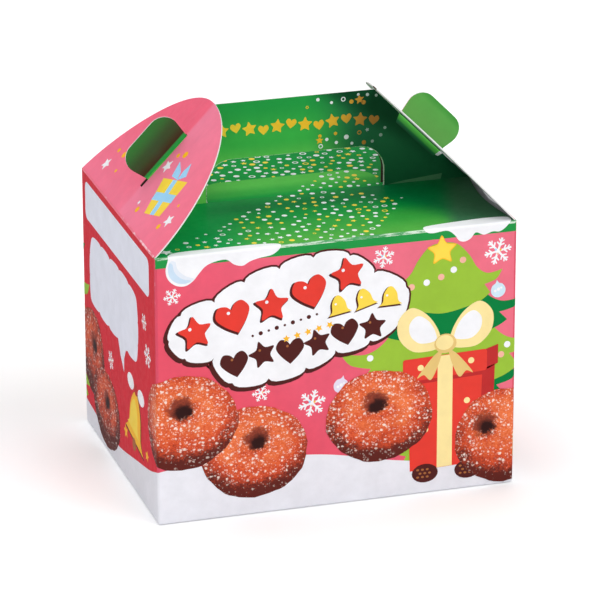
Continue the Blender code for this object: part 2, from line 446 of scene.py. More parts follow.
cracked = {
    # ink, the board under it, how much is broken, stretch of the breaks
    "pinkFold": (sRgb(226, 74, 100), sRgb(250, 178, 190), 0.08, (1.0, 1.0, 0.25)),
    # painted highlight and cracks of wear: a lighter green on the top front fold
    "greenFold": (sRgb(60, 154, 84), sRgb(206, 226, 206), 0.24, (0.20, 1.0, 1.0)),
    "cutLine": (sRgb(96, 176, 92), sRgb(196, 226, 186), 0.30, (1.0, 1.0, 1.0)),
    # painted highlight and cracks of wear: a light pink strip along the creases of the walls and flaps
    "pinkCrease": (sRgb(242, 120, 142), sRgb(252, 210, 216), 0.14, (1.0, 0.25, 1.0)),
}
toRight, toLeft, toBack, upwards = (1, 0, 0), (-1, 0, 0), (0, 1, 0), (0, 0, 1)
tabBase = 123.93  # where both tabs start, measured out along their own direction
tabOut = {-1: (-0.717, 0.0, 0.697), 1: (0.717, 0.0, 0.697)}
faded = {
    # stops, direction, from and to, then other colours towards the sides, and the finish
    "pink": (
        [(0.0, sRgb(236, 78, 102)), (0.35, sRgb(238, 86, 112)), (1.0, sRgb(241, 110, 132))],
        (0.707, 0.0, 0.707), 5.0, 80.0,
    ),
    "handle": (
        [(0.0, sRgb(114, 216, 94)), (0.42, sRgb(62, 186, 76)), (1.0, sRgb(32, 161, 70))],
        upwards, 117.0, 144.0,
        [
            # painted shadow of the right flap: darker to the right, and darkest at the upper right
            (toRight, 2.0, 26.0, sRgb(30, 108, 66)),
            ((0.55, 0.0, 0.83), 122.0, 131.0, sRgb(6, 70, 38)),
        ],
        topFinish,
    ),
    # painted shade: the handle's gold darkens to the right, under the right flap's shadow
    "handleGoldShaded": (
        [(0.0, sRgb(255, 218, 60)), (0.55, sRgb(255, 200, 48)), (1.0, sRgb(176, 120, 48))],
        toRight, -30.0, 32.0, (), topFinish,
    ),
    # painted shade: the handle's white greys to the right, under the right flap's shadow
    "handleWhiteShaded": (
        [(0.0, sRgb(247, 247, 250)), (1.0, sRgb(150, 172, 160))],
        toRight, 12.0, 34.0, (), topFinish,
    ),
    "top": (
        [
            (0.0, sRgb(82, 170, 68)), (0.32, sRgb(52, 156, 60)), (0.58, sRgb(8, 142, 58)),
            (0.80, sRgb(0, 122, 56)), (1.0, sRgb(20, 138, 58)),
        ],
        toBack, -53.0, 0.0,
        [
            (toLeft, 20.0, 46.0, sRgb(0, 156, 76)),
            # painted shade on the top's right, by the handle's foot
            ((0.82, 0.57, 0.0), 8.0, 26.0, sRgb(0, 118, 62)),
            # painted shadow of the right flap on the top, with a brownish painted reflection of its pink
            ((0.957, -0.29, 0.0), 53.5, 62.0, sRgb(58, 112, 76)),
        ],
        topFinish,
    ),
    "backTop": (
        [(0.0, sRgb(20, 160, 66)), (0.4, sRgb(0, 150, 60)), (1.0, sRgb(0, 146, 60))],
        toBack, 0.0, 53.0, (), topFinish,
    ),
    "tongue": (
        [(0.0, sRgb(8, 150, 58)), (0.35, sRgb(52, 166, 62)), (1.0, sRgb(90, 194, 78))],
        toBack, 0.0, 12.0, (), topFinish,
    ),
    "tabRight": (
        [(0.0, sRgb(94, 194, 84)), (0.75, sRgb(86, 190, 78)), (1.0, sRgb(62, 174, 60))],
        tabOut[1], tabBase, tabBase + 12.2,
    ),
    # painted light and shade on the left tab: a bright line at its root for the lit handle seen through the
    # slit, then painted shade with a brownish painted reflection of the pink flap
    "tabLeftShaded": (
        [
            (0.0, sRgb(40, 178, 78)), (0.07, sRgb(40, 178, 78)), (0.12, sRgb(60, 52, 20)),
            (0.45, sRgb(46, 82, 38)), (1.0, sRgb(38, 126, 48)),
        ],
        tabOut[-1], tabBase, tabBase + 13.2,
    ),
    # the tabs' light green carried onto the handle inside the right flap, painted brighter as if lit through
    # the slit, fading into painted shade
    "tabRootLitToShade": (
        [
            (0.0, sRgb(112, 226, 88)), (0.45, sRgb(84, 196, 76)), (0.72, sRgb(20, 120, 70)),
            (1.0, sRgb(6, 84, 50)),
        ],
        tuple(-part for part in tabOut[1]), 0.9 - tabBase, 4.4 - tabBase,
    ),
}
inks = {name: plainInk(name, colour) for name, colour in tones.items()}
inks["pine"] = plainInk("pine", sRgb(0, 128, 62), topFinish)
inks["flapPinkShaded"] = ridgeShadedInk("flapPinkShaded")
for name, spec in cracked.items():
    inks[name] = crackedInk(name, *spec)
for name, spec in faded.items():
    inks[name] = fadedInk(name, *spec)
for index, spec in enumerate(cake["pictures"]):
    inks[f"cake{index}"] = sugaredInk(f"ink_sugared_{index}", 3.7 * index, *spec)
boards = {
    "inside": rawBoard("inside", sRgb(226, 226, 230)),
    "edge": rawBoard("edge", sRgb(240, 238, 236)),
    # painted shade: a dark brown board for cut faces and hidden faces that lie in shadow
    "slit": rawBoard("slit", sRgb(84, 60, 48)),
}
print("materials ready")

# Places: a drawing's point (u, v) and its height h over the board, to the box


def onWalls(u, v, h):
    radius = carton["foldRadius"]
    left = (u + halfWidth) % roundTrip
    corner = Vector((-halfWidth, -halfDepth))
    ahead = Vector((1.0, 0.0))
    for length in (carton["width"], carton["depth"], carton["width"], carton["depth"]):
        if left <= length:
            break
        corner = corner + ahead * length
        ahead = Vector((-ahead.y, ahead.x))
        left -= length
    out = Vector((ahead.y, -ahead.x))
    middle = min(max(left, radius), length - radius)
    centre = corner + ahead * middle - out * radius
    over = v - (wallTop - radius)
    if over > 0:  # the fold onto the top
        lean = min(over / (2 * radius), 1.0) * math.pi / 2
        inward = max(over - 2 * radius, 0.0)
        flat = centre + out * (math.cos(lean) * (radius + h) - inward)
        return Vector((flat.x, flat.y, wallTop - radius + math.sin(lean) * (radius + h))) * mm
    turned = Matrix.Rotation((left - middle) / (2 * radius) * math.pi / 2, 2) @ out
    flat = centre + turned * (radius + h)
    return Vector((flat.x, flat.y, v)) * mm


def onTop(x, y, h):
    return Vector((x, y, wallTop + h)) * mm


tongue = {"halfWidth": 34.6, "length": 16.9, "corner": 9.8, "tilt": 4.5, "root": 1.5}
handle = {
    "top": 144.5,
    "flapGap": 0.9,
    "foot": 104.8,
    "holeHalfWidth": 35.0,
    "holeTop": 122.2,
    "holeCorner": 9.8,
    "rearFoot": 3.0,
    "rearTop": 0.05,
    "endFrom": 1.6,
}
tab = {
    # -1 is the left tab, 1 the right one
    "low": 16.8,
    "high": {-1: 38.9, 1: 40.1},
    "flare": 2.5,
    "reach": {-1: 13.7, 1: 12.4},
    "corner": 6.3,
}


def onTongue(x, y, h):
    tilt = math.radians(tongue["tilt"])
    base = wallTop + 0.05
    inward, up = y * math.cos(tilt) - h * math.sin(tilt), y * math.sin(tilt) + h * math.cos(tilt)
    return Vector((x, inward, base + up)) * mm


def onHandle(x, z, h):
    return Vector((x, -carton["board"] - h, z)) * mm


def onRearHandle(x, z, h):
    # seen from behind, on the face of the rear board
    lean = math.atan2(handle["rearFoot"] - handle["rearTop"], handle["top"] - wallTop)
    out = carton["board"] / 2 + h
    up = z - wallTop
    y = handle["rearFoot"] - up * math.sin(lean) + out * math.cos(lean)
    return Vector((-x, y, wallTop + up * math.cos(lean) + out * math.sin(lean))) * mm


def flapLean(side, s):
    bend = math.hypot(s / flap["ridgeScale"], flap["ridgeSoftness"]) - flap["ridgeSoftness"]
    towardsFront, towardsBack = flap["leanGain"]["right" if side > 0 else "left"]
    return math.radians(flap["lean"] + (towardsFront if s < 0 else towardsBack) * bend)


def flapReach(s):
    share = min(abs(s) / flap["halfWidth"], 1.0)
    return flap["reach"] * (1.0 - share**2) ** (1.0 / flap["tipPower"])


def onFlap(side):
    def place(s, t, h):
        lean = flapLean(side, s)
        x = side * (halfWidth - 0.05 - t * math.sin(lean) + h * math.cos(lean))
        return Vector((x, s, wallTop - 0.05 + t * math.cos(lean) + h * math.sin(lean))) * mm

    return place


# Outlines, as lists of (u, v)


def rounded(corners, steps=8):
    # a closed outline from (x, y) and, where a corner is round, (x, y, radius)
    made = []
    for index, corner in enumerate(corners):
        here = Vector(corner[:2])
        if len(corner) == 2:
            made.append(here)
            continue
        before = (Vector(corners[index - 1][:2]) - here).normalized()
        after = (Vector(corners[(index + 1) % len(corners)][:2]) - here).normalized()
        half = before.angle(after) / 2
        centre = here + (before + after).normalized() * corner[2] / math.sin(half)
        first = here + before * corner[2] / math.tan(half) - centre
        sweep = first.angle_signed(here + after * corner[2] / math.tan(half) - centre)
        for step in range(steps + 1):
            made.append(centre + Matrix.Rotation(-sweep * step / steps, 2) @ first)
    return made


def smooth(points, steps=6):
    # a closed soft outline through points; one with a third number is a sharp corner
    made = []
    count = len(points)
    for index in range(count):
        before, here, after, beyond = (points[(index + shift) % count] for shift in (-1, 0, 1, 2))
        start, end = Vector(here[:2]), Vector(after[:2])
        pull = Vector((0, 0)) if len(here) > 2 else (end - Vector(before[:2])) / 6
        push = Vector((0, 0)) if len(after) > 2 else (Vector(beyond[:2]) - start) / 6
        if len(here) > 2 and len(after) > 2:
            made.append(start)
        else:
            made += geometry.interpolate_bezier(start, start + pull, end - push, end, steps + 1)[:-1]
    return made


def disc(x, y, size, tall=None, count=12):
    tall = size if tall is None else tall
    turns = [2 * math.pi * step / count for step in range(count)]
    return [Vector((x + size * math.cos(turn), y + tall * math.sin(turn))) for turn in turns]


def star(x, y, size, turn=0.0, points=5, waist=0.48):
    made = []
    for step in range(2 * points):
        angle = math.radians(90 + turn) + math.pi * step / points
        reach = size * (waist if step % 2 else 1.0)
        made.append(Vector((x + reach * math.cos(angle), y + reach * math.sin(angle))))
    return made


def snowflake(x, y, size, turn=0.0):
    # six arms, each with two pairs of twigs, as one outline
    wide = size * 0.074
    arm = [
        (0.15, 1.0), (0.42, 1.0), (0.60, 4.2), (0.68, 3.4), (0.56, 1.0), (0.70, 1.0), (0.86, 3.2),
        (0.93, 2.4), (0.82, 1.0), (1.0, 1.0),
    ]
    half = [(reach * size, width * wide) for reach, width in arm]
    made = []
    for spoke in range(6):
        spin = Matrix.Rotation(math.radians(60 * spoke + turn), 2)
        for reach, width in [(reach, -width) for reach, width in half] + half[::-1]:
            made.append(Vector((x, y)) + spin @ Vector((reach, width)))
    return made


def scalloped(points, bulge, steps=7):
    # arcs bulging outwards between the points of a closed loop that runs clockwise
    made = []
    for index, point in enumerate(points):
        start, end = Vector(point), Vector(points[(index + 1) % len(points)])
        across = end - start
        out = Vector((-across.y, across.x)).normalized() * bulge * across.length
        for step in range(steps):
            share = step / steps
            lift = math.sin(math.pi * share) ** 0.8
            sway = -0.10 * math.sin(2 * math.pi * share)
            made.append(start + across * (share + sway) + out * lift)
    return made


def moved(outline, x=0.0, y=0.0, turn=0.0, size=1.0):
    spin = Matrix.Rotation(math.radians(turn), 2)
    return [spin @ (Vector(point[:2]) * size) + Vector((x, y)) for point in outline]


# Printed sheets

layer = {"bottom": 0.004, "step": 0.008}  # ink heights over the board
printed = {}  # the sheets of each printed panel, joined at the end
cornerU = [halfWidth, halfWidth + carton["depth"], -halfWidth, -halfWidth - carton["depth"]]
cornerU.append(roundTrip / 2 + halfWidth)
foldCuts = [-1.0, -0.5, 0.0, 0.5, 1.0]
wallCutsU = [round(u + share * carton["foldRadius"], 4) for u in cornerU for share in foldCuts]
wallCutsV = [round(wallTop + share * carton["foldRadius"], 4) for share in foldCuts]
flapShares = [step / flap["columns"] - 0.5 for step in range(flap["columns"] + 1)]
flapCuts = [flap["halfWidth"] * math.sin(math.pi * share) for share in flapShares]


def finished(source):
    # the mesh that an object's curve or modifiers give, ready to edit; the object goes
    bpy.context.view_layer.update()
    mesh = bpy.data.meshes.new_from_object(source.evaluated_get(bpy.context.evaluated_depsgraph_get()))
    bpy.data.batch_remove([source, source.data])
    bm = bmesh.new()
    bm.from_mesh(mesh)
    bpy.data.meshes.remove(mesh)
    return bm


def flatPlate(outlines, thickness):
    curve = bpy.data.curves.new("flat", "CURVE")
    curve.dimensions = "2D"
    curve.fill_mode = "BOTH"
    curve.extrude = thickness / 2
    for outline in outlines:
        spline = curve.splines.new("POLY")
        spline.points.add(len(outline) - 1)
        for point, spot in zip(spline.points, outline):
            point.co = (spot[0], spot[1], 0.0, 1.0)
        spline.use_cyclic_u = True
    drawn = bpy.data.objects.new("flat", curve)
    bpy.context.scene.collection.objects.link(drawn)
    bm = finished(drawn)
    bmesh.ops.remove_doubles(bm, verts=bm.verts, dist=0.0001)
    return bm


def sliceAt(bm, place, normal, dist=0.0001, **more):
    everything = bm.verts[:] + bm.edges[:] + bm.faces[:]
    bmesh.ops.bisect_plane(bm, geom=everything, dist=dist, plane_co=place, plane_no=normal, **more)


def cutAlong(bm, spots, axis):
    normal = Vector((1, 0, 0)) if axis == 0 else Vector((0, 1, 0))
    values = [vert.co[axis] for vert in bm.verts]
    for spot in spots:
        if min(values) < spot < max(values):
            sliceAt(bm, normal * spot, normal)


def keepWithin(bm, span):
    # cuts a sheet off at a panel's ends and closes the cut
    for spot, direction in zip(span, (-1, 1)):
        sliceAt(bm, (spot, 0, 0), (direction, 0, 0), clear_outer=True)
        rim = [edge for edge in bm.edges if edge.is_boundary]
        if rim:
            bmesh.ops.holes_fill(bm, edges=rim)


def lay(bm, place, down=0.0):
    # puts the points of a flat sheet on their panel
    for vert in bm.verts:
        vert.co = place(vert.co.x, vert.co.y, vert.co.z - down)


def meshObject(name, bm, materials, closed=True):
    if closed:
        bmesh.ops.recalc_face_normals(bm, faces=bm.faces)
    mesh = bpy.data.meshes.new(name)
    bm.to_mesh(mesh)
    bm.free()
    for material in materials:
        mesh.materials.append(material)
    made = bpy.data.objects.new(name, mesh)
    bpy.context.scene.collection.objects.link(made)
    return made


def ink(panel, colour, level, outlines, place, cutsU=(), cutsV=(), span=None, picture=None, lift=0.0):
    # one closed film of ink, drawn flat and then laid on its panel
    bm = flatPlate(outlines, 1.0)
    if span:
        keepWithin(bm, span)
    cutAlong(bm, cutsU, 0)
    cutAlong(bm, cutsV, 1)
    x, y, wide, tall = picture or (0.0, 0.0, 100.0, 100.0)
    flat = bm.loops.layers.uv.new("flat")
    for face in bm.faces:
        for loop in face.loops:
            loop[flat].uv = ((loop.vert.co.x - x) / wide, (loop.vert.co.y - y) / tall)
    for vert in bm.verts:
        height = lift + layer["step"] * level if vert.co.z > 0 else layer["bottom"]
        vert.co = place(vert.co.x, vert.co.y, height)
    made = meshObject(panel + "_" + colour, bm, [inks[colour]])
    printed.setdefault(panel, []).append(made)


def wallInk(panel, colour, level, outlines, shift=0.0, **more):
    shifted = [[(spot[0] + shift, spot[1]) for spot in outline] for outline in outlines]
    ink(panel, colour, level, shifted, onWalls, wallCutsU, wallCutsV, **more)


def flapInk(side, colour, level, outlines, lift=flap["inkLift"]):
    panel = "print_flap_right" if side > 0 else "print_flap_left"
    ink(panel, colour, level, outlines, onFlap(side), flapCuts, lift=lift)


# The board pieces

bodyFinishes = ["pink", "green", "top", "backTop", "snow", "pinkFold", "greenFold", "inside", "shadedSidePink"]


def bodyFinish(face):
    centre = face.calc_center_median() / mm
    normal = face.normal
    if abs(normal.z) > 0.99 and centre.z > wallTop - 0.01:
        return "top" if centre.y < 0 else "backTop"
    lowGap = wallTop - carton["bandSink"] - 0.01
    inGap = abs(centre.x) < halfWidth - 0.01 and abs(centre.y) < halfDepth - 2.0 and lowGap < centre.z
    if centre.z < 0.01 or inGap:
        return "inside"
    if centre.z < carton["snowUpTo"]:
        return "snow"
    onFront = halfDepth - abs(centre.y) < halfWidth - abs(centre.x)
    if centre.z > wallTop - carton["foldRadius"] + 0.001 and onFront:
        return "greenFold"
    if centre.z > carton["greenFrom"] and onFront:
        return "green"
    if max(abs(normal.x), abs(normal.y)) < 0.995:
        return "pinkFold"
    # the short sides take the darker pink, a painted shade
    return "pink" if onFront else "shadedSidePink"


drawIn = {"end": 69.2, "by": 2.8, "from": 1.2, "to": 51.2, "steps": 14}


def drawInCutter(side, half):
    outline = [(side * drawIn["end"], half * drawIn["from"])]
    for step in range(1, drawIn["steps"] + 1):
        share = step / drawIn["steps"]
        x = drawIn["end"] - drawIn["by"] * math.sin(math.pi * share)
        outline.append((side * x, half * (drawIn["from"] + (drawIn["to"] - drawIn["from"]) * share)))
    bm = flatPlate([outline], 2 * carton["bandSink"])
    bmesh.ops.scale(bm, vec=(mm, mm, mm), verts=bm.verts)
    bmesh.ops.translate(bm, vec=(0, 0, wallTop * mm), verts=bm.verts)
    return meshObject("cutter", bm, [])


def makeBody():
    bm = bmesh.new()
    size = Matrix.Diagonal((carton["width"] * mm, carton["depth"] * mm, wallTop * mm, 1.0))
    bmesh.ops.create_cube(bm, size=1.0, matrix=Matrix.Translation((0, 0, wallTop * mm / 2)) @ size)
    folds = []
    for edge in bm.edges:
        first, second = (vert.co for vert in edge.verts)
        alongDepth = abs(first.y - second.y) > halfDepth * mm
        if not (alongDepth and min(first.z, second.z) > wallTop * mm / 2):
            folds.append(edge)
    bmesh.ops.bevel(
        bm,
        geom=folds,
        offset=carton["foldRadius"] * mm,
        segments=carton["foldSteps"],
        profile=0.5,
        affect="EDGES",
        material=-1,
    )
    body = meshObject("carton_body", bm, [])
    cutters = [drawInCutter(side, half) for side in (-1, 1) for half in (-1, 1)]
    for cutter in cutters:
        cut = body.modifiers.new("gap", "BOOLEAN")
        cut.object = cutter
        cut.operation = "DIFFERENCE"
        cut.solver = "EXACT"
    bm = finished(body)
    for cutter in cutters:
        bpy.data.objects.remove(cutter)
    for place, normal in (
        ((0, 0, carton["snowUpTo"] * mm), (0, 0, 1)),
        ((0, 0, carton["greenFrom"] * mm), (0, 0, 1)),
        ((0, 0, 0), (0, 1, 0)),
    ):
        sliceAt(bm, place, normal, 0.000001)
    bmesh.ops.recalc_face_normals(bm, faces=bm.faces)
    for face in bm.faces:
        face.material_index = bodyFinishes.index(bodyFinish(face))
    finishes = [inks[name] if name in inks else boards[name] for name in bodyFinishes]
    return meshObject("carton_body", bm, finishes)


def makeFlap(side, name):
    bm = bmesh.new()
    bmesh.ops.create_grid(bm, x_segments=flap["columns"], y_segments=flap["rows"], size=1.0)
    for vert in bm.verts:
        s = flap["halfWidth"] * math.sin(vert.co.x * math.pi / 2)
        vert.co = Vector((s, flapReach(s) * (vert.co.y + 1.0) / 2, 0.0))
    bmesh.ops.remove_doubles(bm, verts=bm.verts, dist=0.01)
    front, back, low, high = flap["slit"]
    cutAlong(bm, (front, back), 0)
    cutAlong(bm, (low, high), 1)
    gap = []
    for face in bm.faces:
        centre = face.calc_center_median()
        if front < centre.x < back and low < centre.y < high:
            gap.append(face)
    bmesh.ops.delete(bm, geom=gap, context="FACES")
    lay(bm, onFlap(side))
    bmesh.ops.recalc_face_normals(bm, faces=bm.faces)
    if sum(face.normal.x for face in bm.faces) * side < 0:
        bmesh.ops.reverse_faces(bm, faces=bm.faces)
    finishes = [inks["flapPinkShaded"], boards["inside"], boards["edge"], boards["slit"]]
    sheet = meshObject(name, bm, finishes, closed=False)
    shell = sheet.modifiers.new("board", "SOLIDIFY")
    shell.thickness = carton["board"] * mm
    shell.offset = -1.0
    shell.material_offset = 1
    shell.material_offset_rim = 2
    thick = finished(sheet)
    for face in thick.faces:
        centre = face.calc_center_median() / mm
        if face.material_index == 2 and abs(centre.y) < 2.0 and centre.z < wallTop + high:
            face.material_index = 3  # the cut faces inside the slit get the dark board as painted shade
    return meshObject(name, thick, finishes, closed=False)


def upSlope(side, up, out):
    lean = math.radians(flap["lean"])
    x = halfWidth - up * math.sin(lean) + out * math.cos(lean)
    return side * x, wallTop + up * math.cos(lean) + out * math.sin(lean)


def tabCorners(side):
    # the corners of a tab, up one sloping end of the handle
    low, high, flare, reach = tab["low"], tab["high"][side], tab["flare"], tab["reach"][side]
    return [
        upSlope(side, low, 0.0),
        (*upSlope(side, low - flare, reach), tab["corner"]),
        (*upSlope(side, high + flare, reach), tab["corner"]),
        upSlope(side, high, 0.0),
    ]


def handleEnd(side, withTab):
    gap = -handle["flapGap"]
    lean = math.radians(flap["lean"])
    topUp = (handle["top"] - wallTop + handle["flapGap"] * math.sin(lean)) / math.cos(lean)
    corners = [upSlope(side, handle["endFrom"], gap)]
    if withTab:
        corners += [upSlope(side, tab["low"], gap), *tabCorners(side), upSlope(side, tab["high"][side], gap)]
    return corners + [upSlope(side, topUp, gap)]


def arch(half, low, high, corner):
    # square at the foot, round at the head
    return rounded([(-half, low), (half, low), (half, high, corner), (-half, high, corner)], 10)


def handHole():
    return arch(handle["holeHalfWidth"], wallTop, handle["holeTop"], handle["holeCorner"])


def facePlate(bm, front):
    # 0 the printed face, 1 the inner face, 2 the cut edges of a flat board
    bmesh.ops.recalc_face_normals(bm, faces=bm.faces)
    for face in bm.faces:
        facing = face.normal.dot(Vector(front))
        face.material_index = 0 if facing > 0.9 else 1 if facing < -0.9 else 2


def makeHandle(name, withTab, rear):
    right = handleEnd(1, withTab)
    left = handleEnd(-1, withTab)[::-1]
    foot = handle["foot"]
    outer = [(-right[0][0], foot), (right[0][0], foot)] + right + left
    bm = flatPlate([rounded(outer, 8), handHole()], carton["board"])
    if rear:
        lay(bm, lambda x, z, h: onRearHandle(-x, z, h), carton["board"] / 2)
    else:
        lay(bm, onHandle, carton["board"] / 2)
    facePlate(bm, (0, 1, 0) if rear else (0, -1, 0))
    for face in bm.faces:
        centre = face.calc_center_median() / mm
        inHole = abs(centre.x) < handle["holeHalfWidth"] + 0.1 and centre.z < handle["holeTop"] + 0.1
        if rear and inHole and face.material_index == 2:
            face.material_index = 3  # the rear edge of the hand hole gets the dark board as painted shade
    # painted shade: the rear board's inner face, seen only through the hand hole, is the dark board
    inner = boards["slit" if rear else "inside"]
    return meshObject(name, bm, [inks["handle"], inner, boards["edge"], boards["slit"]])


def makeTongue():
    outline = arch(tongue["halfWidth"], -tongue["root"], tongue["length"], tongue["corner"])
    bm = flatPlate([outline], carton["board"])
    lay(bm, onTongue, carton["board"] / 2)
    facePlate(bm, upwards)
    return meshObject("tongue", bm, [inks["tongue"], boards["inside"], boards["edge"]])


boardPieces = [
    makeBody(),
    makeFlap(-1, "flap_left"),
    makeFlap(1, "flap_right"),
    makeHandle("handle_front", True, False),
    makeHandle("handle_rear", False, True),
    makeTongue(),
]
print("board pieces ready")

# The print round the walls

ground = {
    "level": 8,  # over the fir, under the cakes and the present
    "foot": 5.0,
    "line": [
        (-177.6, 10.2), (-150.0, 8.2), (-125.9, 9.5), (-100.0, 14.2), (-81.2, 17.8), (-68.0, 21.6),
        (-53.7, 21.9), (-30.0, 22.4), (-12.0, 21.5), (0.9, 19.7), (17.0, 16.0), (32.6, 13.3), (45.0, 11.2),
        (70.0, 10.6),
    ],
}


def printGround(panel, shift):
    # the snow line of one long side and the wall to its left; two of them go all round
    line, foot = ground["line"], ground["foot"]
    corners = [(line[-1][0], foot, 0), (line[0][0], foot, 0), (*line[0], 0), *line[1:-1], (*line[-1], 0)]
    wallInk(panel, "snow", ground["level"], [smooth(corners, 5)], shift)


cakes = {
    # level, middle u and v, half width, half height, which picture
    "front": [
        (17, -32.6, 25.2, 20.7, 18.3, 1),
        (18, -60.8, 40.0, 22.0, 18.7, 0),
        (24, 16.3, 33.8, 20.9, 18.3, 2),
        (24, 66.0, 20.2, 19.6, 19.0, 3),
    ],
    "side": [(9, -41.2, 34.0, 17.5, 17.6, 4), (10, -20.8, 17.8, 20.0, 15.6, 5)],
    "corners": 64,
    "edgeGap": 0.3,  # a side's cakes stop this far from its fold
    "overLeft": 20.0,  # and a long side's run on this far round its left corner
}


def printCake(panel, spec, shift, span):
    level, x, y, wide, tall, picture = spec
    outline = []
    waves = ((0.010, 5, x), (0.008, 11, y), (0.006, 23, 0.0))  # height, count round the edge, start
    for step in range(cakes["corners"]):
        turn = 2 * math.pi * step / cakes["corners"]
        reach = 1.0 + sum(high * math.sin(count * turn + begin) for high, count, begin in waves)
        outline.append((x + reach * wide * math.cos(turn), y + reach * tall * math.sin(turn)))
    wallInk(panel, f"cake{picture}", level, [outline], shift, span=span, picture=(x + shift, y, wide, tall))


flakes = {
    # middle, size and turn
    "front": [
        (-63.6, 90.3, 3.3, 8), (17.8, 97.0, 4.2, 20), (62.6, 94.6, 5.4, 12), (-29.9, 48.5, 3.5, 5),
        (-10.1, 42.1, 5.4, 15),
    ],
    "side": [(37.6, 75.2, 3.4, 10), (41.9, 63.3, 4.6, 0), (-13.2, 41.0, 4.0, 18), (45.5, 36.0, 3.2, 6)],
    "spots": [("gold", 0.4), ("paleBlue", 2.5), ("peach", 4.6)],
    "spotAt": 0.2,
    "spotSize": 0.085,
}


def printFlakes(panel, which, shift):
    for x, y, size, turn in flakes[which]:
        wallInk(panel, "white", 2, [snowflake(x, y, size, turn)], shift)
        for colour, angle in flakes["spots"]:
            spot = Vector((math.cos(angle), math.sin(angle))) * size * flakes["spotAt"] + Vector((x, y))
            wallInk(panel, colour, 3, [disc(*spot, size * flakes["spotSize"], count=8)], shift)


drips = [
    # ink, level, outline
    ("white", 2, [
        (-65.0, 104.6), (-65.9, 100.8), (-65.0, 97.2), (-62.2, 94.6), (-58.6, 94.0), (-55.6, 95.6),
        (-53.2, 98.4), (-50.6, 101.0), (-46.8, 102.4), (-42.8, 102.6), (-39.8, 100.4), (-36.6, 99.6),
        (-33.8, 101.0), (-30.4, 101.9), (-25.0, 102.8), (-21.9, 105.6), (-22.6, 108.4), (-30.0, 109.9),
        (-46.0, 110.2), (-60.0, 110.0), (-64.4, 107.6),
    ]),
    ("white", 2, [
        (33.7, 106.7), (34.6, 104.9), (37.3, 104.4), (42.4, 104.8), (45.4, 102.8), (47.2, 100.4),
        (49.5, 99.8), (51.8, 100.8), (53.8, 102.9), (57.0, 101.7), (60.4, 102.6), (63.3, 102.4),
        (66.2, 104.4), (68.2, 107.6), (67.6, 111.2), (60.0, 112.4), (48.0, 111.6), (38.0, 110.4),
        (34.4, 109.2),
    ]),
    ("snowHaze", 3, [
        (-64.3, 104.0), (-65.0, 100.8), (-64.2, 97.6), (-61.7, 95.5), (-58.4, 94.9), (-55.2, 96.4),
        (-58.0, 97.7), (-60.2, 99.4), (-61.6, 101.4), (-62.2, 103.8),
    ]),
    ("snowShade", 4, [
        (-64.5, 103.4), (-65.0, 100.6), (-64.1, 97.7), (-61.7, 95.6), (-58.6, 95.0), (-56.2, 95.8),
        (-59.2, 96.7), (-61.4, 98.3), (-62.8, 100.4), (-63.3, 102.8),
    ]),
]

plaque = {
    "edge": [
        (-65.0, 73.0), (-60.5, 82.6), (-47.5, 86.4), (-36.0, 93.0), (-22.5, 96.8), (-9.5, 99.8), (4.6, 99.0),
        (14.0, 91.2), (26.5, 84.4), (23.5, 71.0), (12.5, 64.6), (-1.0, 62.2), (-12.5, 56.6), (-27.0, 54.0),
        (-41.0, 53.8), (-48.0, 64.6), (-59.0, 65.6),
    ],
    "bulge": 0.17,
    "rim": 0.75,
    "shadow": (-0.9, -0.9),
    "level": 10,
    "rows": [
        # motifs, ink, from, to, count, size
        (("star", "heart"), "red", (-55.0, 75.2), (4.0, 91.2), 5, 6.7),
        (("bell",), "yellow", (0.5, 79.4), (20.5, 81.2), 3, 4.6),
        (("heart", "star"), "brown", (-39.5, 61.8), (14.0, 70.6), 6, 5.1),
    ],
    "turn": (9, 2.3, 10),  # how far the motifs turn either way, how often, and from what
    "rise": (0.8, 1.9),  # how far they rise and fall, and how often
    "under": (-0.5, -0.5, 1.07),  # shift and size of the brown under each
    "glint": (-0.30, 0.24, 0.10),  # place and size in shares of the motif
    "beads": {"from": (-33.0, 71.6), "step": (3.1, 0.72), "count": 9, "sizes": (0.5, 0.85)},
    "sparks": {"from": (-20.0, 69.0), "step": (4.2, 0.9), "count": 5, "size": 1.5, "turn": 10},
}


def mirrored(half):
    # a shape from its right half, which starts and ends on the middle line
    return half + [(-x, *rest) for x, *rest in half[-2:0:-1]]


shapes = {
    "heart": smooth(mirrored([
        (0, 0.42, 0), (0.26, 0.72), (0.72, 0.78), (1.0, 0.22), (0.62, -0.42), (0, -1.0, 0),
    ])),
    "bauble": smooth(mirrored([(0, 1.45, 0), (0.24, 1.0), (0.72, 0.72), (1.0, 0), (0.71, -0.71), (0, -1.0)])),
    "bell": smooth([
        (-1.0, -0.62, 0), (-0.66, -0.3), (-0.56, 0.36), (-0.28, 0.84), (0, 1.0), (0.28, 0.84), (0.56, 0.36),
        (0.66, -0.3), (1.0, -0.62, 0),
    ]),
    "star": smooth([(p.x, p.y) for p in star(0, 0, 1.0, waist=0.56)], 4),
}


def grown(outline, by):
    # the same closed outline, moved out by a distance
    made = []
    for index, point in enumerate(outline):
        way = outline[(index + 1) % len(outline)] - outline[index - 1]
        made.append(point + Vector((-way.y, way.x)).normalized() * by)
    return made


def inRow(row):
    first, apart = Vector(row["from"]), Vector(row["step"])
    return [first + apart * step for step in range(row["count"])]


